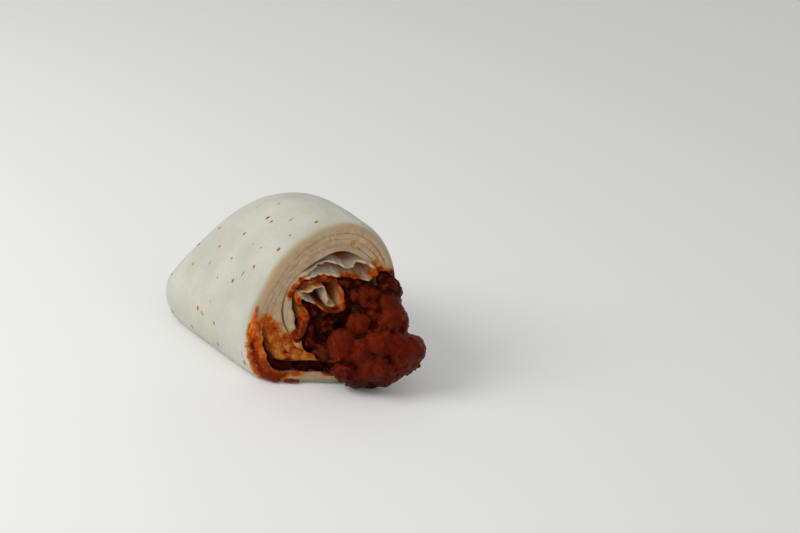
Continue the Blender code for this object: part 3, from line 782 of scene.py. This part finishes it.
def softened(bm, rounds):
    """Each vertex moved half the way to the middle of its neighbours, a number of times."""
    for _ in range(rounds):
        bmesh.ops.smooth_vert(bm, verts=bm.verts, factor=0.5,
                              use_axis_x=True, use_axis_y=True, use_axis_z=True)

# %% Press the heap on the cut, and join
SPILL = 4.0                # how far back the heap reaches beside the skin
SKIN_DEPTH = 0.6           # what is deeper than this under the skin is inside the roll
heap = melted(heap, "heap")
skin_outline = [inside(math.radians(a), SKIN_DEPTH) for a in range(0, 360, 6)]
for vert in heap.verts:
    behind = -vert.co.dot(CUT_NORMAL)
    if behind > 0.0:
        spilled = SPILL * (1.0 - math.exp(-behind / SPILL))
        if within_outline(vert.co.y, vert.co.z, skin_outline):
            spilled = 0.0
        vert.co += CUT_NORMAL * (behind - spilled)
added(heap, melted(front, "front"))
added(heap, core)
print("filling:", len(heap.faces), "faces")

# %% [markdown]
# ## Hollows and crests in the sauce
#
# The material paints shade dark into the gaps between crumbs, and makes their tops paler: partly paler meat,
# and partly a painted highlight. So it needs to know which is which. Each vertex is compared with a smoothed
# copy of
# the surface: where it lies above the copy it is a crest, and where it lies under it is a hollow. A little
# smoothing finds the gaps between crumbs, and much smoothing the valleys between lumps. Their sum is kept as
# an attribute, less a painted shade for the places further back: at the back of the heap, and inside the
# roll.

# %% Crest attribute
CRESTS = ((24, 0.55, 0.36), (130, 2.2, 0.40))      # (rounds of smoothing, height of a full crest, weight)
MIDDLE_CREST = 0.5         # of a place that is neither a crest nor a hollow
RECESS_SHADE = 0.42                # the painted shade further back from the heap's front:
RECESS_SHADE_FROM, RECESS_SHADE_OVER = 9.0, 10.0       # it starts this far out of the cut, and is full this much further back


def finished_filling(name, bm, shade):
    """The object made of a mesh in the section's millimetres, with its crests marked, less a shade."""
    crest = bm.verts.layers.float.new("crest")
    bm.normal_update()
    for vert in bm.verts:
        vert[crest] = MIDDLE_CREST - shade(vert)
    soft = bm.copy()
    for rounds, height, weight in CRESTS:
        softened(soft, rounds)
        for vert, flat in zip(bm.verts, soft.verts):
            vert[crest] += weight * max(-1.0, min(1.0, (vert.co - flat.co).dot(vert.normal) / height))
    soft.free()
    for vert in bm.verts:
        vert.co = to_model(vert.co)
    thing = as_object(name, bm)
    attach(thing, "root")
    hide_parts("chili")
    return thing


def recess_shade(vert):
    """A painted shade: the further back from the heap's front, the darker the sauce."""
    return RECESS_SHADE * smooth((RECESS_SHADE_FROM - vert.co.dot(CUT_NORMAL)) / RECESS_SHADE_OVER)


chili = finished_filling("chili_filling", heap, recess_shade)

# %% [markdown]
# ## Sauce crust on the lip
#
# Low on the left the sauce ran over the cut's lip and dried to a ragged orange crust with crumbs in it. It is
# made as the filling is, from small balls along the lip. They cover the ends of the two outer layers, and
# some cling to the skin a millimetre or two back. Towards both its ends the crust gets narrower and its
# crumbs smaller. Low down along the skin's edge its crests get a painted shade.

# %% Crust
CRUST_SPAN = (178.0, 262.0)    # degrees round the section, from the left side to the bottom
CRUST_FADES = (22.0, 24.0)     # degrees over which it gets to its full width at each end
CRUST_COUNT, CRUST_SIZES = 560, (0.5, 1.25)
END_SIZE, MORE_SIZE = 0.7, 0.3         # of a crumb's size, at the crust's ends and from there to its middle
CRUST_DEPTH, CRUST_CROWDING = 3.4, 1.2         # over 1 the crumbs crowd towards the skin
CRUST_UNDER = 1.0          # how far in from the skin the crumbs start
CLINGING, CLING_BACK = 1.2, 1.6        # crumbs that are less deep than this sit up to this far back
PATCH_SIZE, BARE_UNDER, ALWAYS_FROM = 3.0, -0.25, 2.5      # bare patches, but none this deep
PROUD, PATCH_PROUD, CRUST_SUNK = 0.25, 0.2, 0.4            # what sets how far a crumb stands out
CRUST_SHADE, CRUST_SHADE_DEPTH, CRUST_SHADE_EASE = 0.6, 2.6, 1.4    # the painted shade, how deep it reaches, and over what it fades,
CRUST_SHADE_TOP, CRUST_SHADE_OVER = 23.0, 8.0        # and how high up
balls = []
while len(balls) < CRUST_COUNT:
    angle = rng.uniform(*CRUST_SPAN)
    fade = min(1.0, (angle - CRUST_SPAN[0]) / CRUST_FADES[0], (CRUST_SPAN[1] - angle) / CRUST_FADES[1])
    depth = rng.uniform(0.0, 1.0) ** CRUST_CROWDING * CRUST_DEPTH * fade
    size = rng.uniform(*CRUST_SIZES)
    spot = inside(math.radians(angle), depth + 0.5 * size + CRUST_UNDER)
    patchy = ripple((angle / 3.0, depth, 0.0), PATCH_SIZE)
    back = rng.uniform(0.0, CLING_BACK) * fade if depth < CLINGING else 0.0
    if patchy > BARE_UNDER or depth > ALWAYS_FROM:
        out = PROUD * size + PATCH_PROUD * patchy - back - CRUST_SUNK
        size *= END_SIZE + MORE_SIZE * fade
        balls.append((beyond_cut(*spot, out), size, CRUMB_ROUGH, CRUMB_ROUNDS))


def crust_shade(vert):
    """The crust's painted shade: dark along the skin's edge, low down."""
    right, up = vert.co.y, vert.co.z
    across, high = right - LEAN * (up - CENTRE_HEIGHT), up - CENTRE_HEIGHT
    reach = math.hypot(across / (HALF_WIDTH + LOW_BULGE), high / (HALF_HEIGHT + LOW_BULGE))
    under_skin = min(up, HALF_WIDTH * (1.0 - reach))
    return CRUST_SHADE * smooth((CRUST_SHADE_DEPTH - under_skin) / CRUST_SHADE_EASE) * smooth((CRUST_SHADE_TOP - up) / CRUST_SHADE_OVER)


crust = finished_filling("sauce_crust", melted(piled(balls), "crust"), crust_shade)

# %% [markdown]
# ## Building materials from nodes
#
# All the finishes are made of shader nodes. One helper adds a node, sets its settings and fills its inputs: a
# plain value is set, and a socket is linked. Colours are written as sRGB hex values, and one function turns
# them to the linear values that the renderer works with.

# %% Helpers for materials
def colour(code):
    """A linear colour from an sRGB hex value."""
    parts = [int(code[i:i + 2], 16) / 255 for i in (0, 2, 4)]
    return tuple(c / 12.92 if c <= 0.04045 else ((c + 0.055) / 1.055) ** 2.4 for c in parts) + (1.0,)


def add(tree, kind, inputs=None, **settings):
    """A node with its settings, and its inputs given by name or number as values or as sockets."""
    made = tree.nodes.new("ShaderNode" + kind)
    for name, value in settings.items():
        setattr(made, name, value)
    for name, value in (inputs or {}).items():
        if isinstance(value, bpy.types.NodeSocket):
            tree.links.new(value, made.inputs[name])
        else:
            made.inputs[name].default_value = value
    return made


def new_material(name):
    """A material with its node tree and its shader."""
    finish = bpy.data.materials.new(name)
    finish.use_nodes = True
    tree = finish.node_tree
    return finish, tree, tree.nodes["Principled BSDF"]


def constants(shader, values):
    """Values that are the same all over a surface, set on the shader's own sockets."""
    for name, value in values.items():
        shader.inputs[name].default_value = value


def mix(tree, share, a, b):
    """A colour between two."""
    made = add(tree, "Mix", data_type="RGBA")
    for socket, value in zip((made.inputs[0], made.inputs[6], made.inputs[7]), (share, a, b)):
        if isinstance(value, bpy.types.NodeSocket):
            tree.links.new(value, socket)
        else:
            socket.default_value = value
    return made.outputs[2]


def maths(tree, operation, a, b):
    """A sum, difference or product of two values or sockets."""
    return add(tree, "Math", {0: a, 1: b}, operation=operation).outputs[0]


def eased(tree, value, low, high):
    """0 below one value, 1 above another, and a smooth step between."""
    return add(tree, "MapRange", {"Value": value, "From Min": low, "From Max": high},
               interpolation_type="SMOOTHSTEP").outputs[0]


def grain_at(tree, place, size, detail, rough=0.5):
    """Noise from 0 to 1 whose bumps are this many millimetres across, on object coordinates in metres."""
    return add(tree, "TexNoise", {"Vector": place, "Scale": 1000.0 / size, "Detail": detail,
                                  "Roughness": rough}).outputs[0]


def swing(tree, grain, reach):
    """Noise from 0 to 1, moved to lie about zero and scaled."""
    return maths(tree, "MULTIPLY", maths(tree, "SUBTRACT", grain, 0.5), reach)

# %% [markdown]
# ## Flatbread
#
# A wheat flatbread is baked pale on a hot plate: matt, a little floury, and soft to look at because light
# gets under its skin. It has small brown marks where blisters touched the plate. They belong to the sheet, so
# they read its UV map: U is the way along the sheet and V the way back from the cut. Each cell of a Voronoi
# pattern has one mark or none. The lip is tan where the knife bent it, the cut itself is drier and cream, the
# insides of the hollows get a painted shade that turns browner further in, where sauce soaked them as well,
# and sauce stains go over it all.

# %% Flatbread material
CLOUDS, CRUMB, FLOUR = 14.0, 2.2, 1.2      # sizes of its patterns in millimetres
SKIN, SKIN_PALE, SKIN_FLOUR = "B9BAAC", "C5C6B9", "B6B2A0"
bread, tree, shader = new_material("wheat_flatbread_baked")
place = add(tree, "TexCoord").outputs["Object"]
sheet = add(tree, "UVMap", uv_map="sheet").outputs[0]
sauce, cut_edge, within, loose = (add(tree, "Attribute", attribute_name=name).outputs["Fac"]
                                  for name in ("sauce", "cut_edge", "within", "loose"))
cloudy = grain_at(tree, place, CLOUDS, 3.0)
fine = grain_at(tree, place, FLOUR, 4.0, 0.6)
crumbly = grain_at(tree, place, CRUMB, 5.0, 0.65)
skin = mix(tree, eased(tree, cloudy, 0.3, 0.7), colour(SKIN), colour(SKIN_PALE))
skin = mix(tree, maths(tree, "MULTIPLY", eased(tree, fine, 0.35, 0.75), 0.3), skin, colour(SKIN_FLOUR))

# %% Toast marks
WOBBLES, WOBBLE = 60.0, 0.005      # in the UV map's unit: bumps of 1.7 mm move an outline by 0.25 mm
TOAST_DARK, TOAST_PALE, HALO = "543C1A", "8A7044", "CDB98E"
HALO_SIZE, HALO_SHARE = 2.2, 0.55  # a mark's halo against the mark, and how much of it shows
wobble = add(tree, "TexNoise", {"Vector": sheet, "Scale": WOBBLES, "Detail": 2.0}).outputs[1]
shift = add(tree, "VectorMath", {0: wobble, 1: (0.5, 0.5, 0.5)}, operation="SUBTRACT").outputs[0]
shift = add(tree, "VectorMath", {0: shift, "Scale": WOBBLE}, operation="SCALE").outputs[0]
spotted = add(tree, "VectorMath", {0: sheet, 1: shift}, operation="ADD").outputs[0]


def toasted(under, cell, stretch, radius, share):
    """A colour with marks over it: cells and radius in millimetres, longer along the sheet by a factor."""
    scale = (UV_UNIT / (cell * stretch), UV_UNIT / cell, 1.0)
    spread = add(tree, "Mapping", {"Vector": spotted, "Scale": scale})
    cells = add(tree, "TexVoronoi", {"Vector": spread.outputs[0], "Scale": 1.0}, voronoi_dimensions="2D")
    chance = add(tree, "SeparateColor", {0: cells.outputs["Color"]})
    size = maths(tree, "MULTIPLY", eased(tree, chance.outputs[0], 1.0 - share, 1.0), radius / cell)
    spot = eased(tree, maths(tree, "SUBTRACT", size, cells.outputs["Distance"]), -0.012, 0.03)
    wide = maths(tree, "SUBTRACT", maths(tree, "MULTIPLY", size, HALO_SIZE), cells.outputs["Distance"])
    halo = maths(tree, "MULTIPLY", eased(tree, wide, -0.02, 0.12), HALO_SHARE)
    toast = mix(tree, chance.outputs[1], colour(TOAST_DARK), colour(TOAST_PALE))
    over = mix(tree, halo, under, colour(HALO))
    return mix(tree, maths(tree, "MULTIPLY", spot, eased(tree, fine, 0.2, 0.55)), over, toast)


skin = toasted(skin, cell=6.4, stretch=1.5, radius=0.72, share=0.7)        # round marks in most cells,
skin = toasted(skin, cell=6.0, stretch=5.0, radius=0.3, share=0.4)         # and thin streaks in some

# %% Cut edge and hollows
LIP, HOLLOW_SHADE, HOLLOW_SHADE_DEEP = "AC9670", "8E7058", "B46430"
CRUMB_PALE, CRUMB_BROWN, CRUMB_TORN = "BFA88A", "A48B6A", "BEA888"
lip = maths(tree, "ADD", cut_edge, swing(tree, cloudy, 0.5))
skin = mix(tree, eased(tree, lip, 0.22, 0.78), skin, colour(LIP))
# Painted shade inside the roll, browner further in, where sauce soaked the bread too.
hollow_shade = mix(tree, eased(tree, within, 0.45, 1.0), colour(HOLLOW_SHADE), colour(HOLLOW_SHADE_DEEP))
skin = mix(tree, within, skin, hollow_shade)
cream = mix(tree, eased(tree, crumbly, 0.25, 0.75), colour(CRUMB_PALE), colour(CRUMB_BROWN))
cream = mix(tree, maths(tree, "MULTIPLY", loose, 0.6), cream, colour(CRUMB_TORN))
skin = mix(tree, eased(tree, cut_edge, 0.82, 0.97), skin, cream)

# %% Stains, wet and dry
RAGS, RAG_REACH = 3.0, 1.7             # size of a stain's ragged edge in millimetres, and how strong it is
STAIN_COLOURS = (      # (soak where it sets in, soak where it is full, colour), from the rim inwards
    # The last, near-black colour is strongest in the groove, where it is sauce and a painted shade together.
    (0.2, 0.5, "B87632"), (0.5, 0.75, "A84610"), (0.8, 1.05, "6E220A"), (1.15, 1.45, "2C0C05"),
)
DRY_ROUGHNESS, WET_SMOOTHER = 0.72, 0.34
ragged = grain_at(tree, place, RAGS, 6.0, 0.7)
torn = swing(tree, ragged, RAG_REACH)
soak = maths(tree, "ADD", sauce, maths(tree, "MULTIPLY", torn, eased(tree, sauce, 0.0, 0.25)))
soaked = skin
for start, full, code in STAIN_COLOURS:
    soaked = mix(tree, eased(tree, soak, start, full), soaked, colour(code))
wet = eased(tree, soak, 0.4, 0.9)
tree.links.new(soaked, shader.inputs["Base Color"])
rough = maths(tree, "SUBTRACT", DRY_ROUGHNESS, maths(tree, "MULTIPLY", wet, WET_SMOOTHER))
tree.links.new(rough, shader.inputs["Roughness"])
constants(shader, {
    "IOR": 1.45, "Specular IOR Level": 0.18, "Specular Tint": colour("F0C8A0"),        # a dull, warm shine
    "Subsurface Weight": 0.12, "Subsurface Radius": (0.0030, 0.0022, 0.0015), "Subsurface Scale": 1.0,
})
height = maths(tree, "ADD", maths(tree, "MULTIPLY", fine, 0.6), maths(tree, "MULTIPLY", cloudy, 1.2))
height = maths(tree, "ADD", height, maths(tree, "MULTIPLY", ragged, wet))
bump = add(tree, "Bump", {"Height": height, "Strength": 0.5, "Distance": 0.35 * MM})
tree.links.new(bump.outputs[0], shader.inputs["Normal"])
for piece in (outer, inner):
    piece.data.materials.append(bread)
print(bread.name, len(tree.nodes), "nodes")

# %% [markdown]
# ## Chili sauce
#
# Minced beef simmered in tomato and chili: brown-red, with a painted shade that makes it nearly black in the
# gaps, meat showing paler on the tops, where a painted highlight lies too, and a thin film of fat that gives
# small soft highlights, tinted by the sauce. The crest attribute mixes the colours, and a fine noise in the
# roughness breaks the shine into glints. A painted shade darkens the sauce near the table. The crust on the
# lip is the same sauce, dried thin over pale bread, so it is more orange.

# %% Chili material
SAUCE_PATCHES, SAUCE_GRAIN = 4.0, 0.8      # sizes in millimetres
FOOT_WAVER = 12 * MM       # how far the edge of the dark foot goes up and down
GLOSS = (0.28, 0.6)        # the roughness, from the glints to the dull places between them


def sauce_material(name, colours, shade_below):
    """Glossy, lumpy sauce colours: two patches, crests with painted light, painted shade in hollows and near
    the table.
    """
    finish, tree, shader = new_material(name)
    first, second, pale_lit_top, gap_shade, foot_shade = (colour(code) for code in colours)
    place = add(tree, "TexCoord").outputs["Object"]
    crest = add(tree, "Attribute", attribute_name="crest").outputs["Fac"]
    patchy = grain_at(tree, place, SAUCE_PATCHES, 5.0, 0.7)
    fine = grain_at(tree, place, SAUCE_GRAIN, 4.0, 0.65)
    lifted = maths(tree, "ADD", crest, swing(tree, fine, 0.5))
    meat = mix(tree, eased(tree, patchy, 0.35, 0.65), first, second)
    # Paler crests, partly paler meat and partly a painted highlight, then painted shade in the gaps.
    meat = mix(tree, eased(tree, lifted, 0.62, 1.05), meat, pale_lit_top)
    meat = mix(tree, eased(tree, maths(tree, "SUBTRACT", 1.0, lifted), 0.48, 0.85), meat, gap_shade)
    # Painted shade under a height near the table.
    up = add(tree, "SeparateXYZ", {0: place}).outputs[2]
    low = maths(tree, "ADD", up, swing(tree, patchy, FOOT_WAVER))
    meat = mix(tree, eased(tree, low, 0.3 * shade_below, shade_below), foot_shade, meat)
    tree.links.new(meat, shader.inputs["Base Color"])
    gloss = add(tree, "MapRange", {"Value": fine, "To Min": GLOSS[0], "To Max": GLOSS[1]}).outputs[0]
    tree.links.new(gloss, shader.inputs["Roughness"])
    constants(shader, {"IOR": 1.42, "Specular IOR Level": 0.24, "Specular Tint": colour("E08050")})
    bump = add(tree, "Bump", {"Height": fine, "Strength": 0.6, "Distance": 0.3 * MM})
    tree.links.new(bump.outputs[0], shader.inputs["Normal"])
    print(name, len(tree.nodes), "nodes")
    return finish


# (patch, patch, paler tops with painted light, painted shade in the gaps, painted shade near the table)
CHILI_COLOURS = ("4E1105", "651A07", "7A2812", "200502", "3A0C04")
CRUST_COLOURS = ("92320A", "C6581A", "DE8A40", "4A1206", "74240A")
chili.data.materials.append(sauce_material("minced_beef_in_chili_sauce", CHILI_COLOURS, 15 * MM))
crust.data.materials.append(sauce_material("dried_chili_sauce", CRUST_COLOURS, 11 * MM))

# %% [markdown]
# ## Floor and light
#
# A plain pale floor, and soft light from a large lamp above and a little to the left, with the pale
# surroundings filling in. So the skin's top is the brightest and the cut falls into a soft shade.

# %% Floor, world and lamp
FLOOR_HALF = 2.0           # metres, from the middle to a side
WORLD_LIGHT = 0.55
floor_bm = bmesh.new()
bmesh.ops.create_grid(floor_bm, x_segments=1, y_segments=1, size=FLOOR_HALF)
floor = as_object("floor", floor_bm)
paper, tree, shader = new_material("matt_white_paper")
constants(shader, {"Base Color": colour("F4F4F2"), "Roughness": 0.9})
floor.data.materials.append(paper)

world = bpy.data.worlds.new("studio")
bpy.context.scene.world = world
world.use_nodes = True
constants(world.node_tree.nodes["Background"], {"Color": colour("FFFFFF"), "Strength": WORLD_LIGHT})


def lamp(name, place, aim, size, power):
    """A square soft lamp at a place in metres, turned towards another."""
    light = bpy.data.objects.new(name, bpy.data.lights.new(name, "AREA"))
    bpy.context.scene.collection.objects.link(light)
    light.data.size, light.data.energy = size, power
    light.location = place
    light.rotation_euler = (Vector(aim) - Vector(place)).to_track_quat("-Z", "Y").to_euler()


lamp("key", place=(-0.25, -0.70, 0.55), aim=(0.0, 0.0, 0.03), size=0.5, power=4.7)
bpy.context.scene.view_settings.view_transform = "Standard"
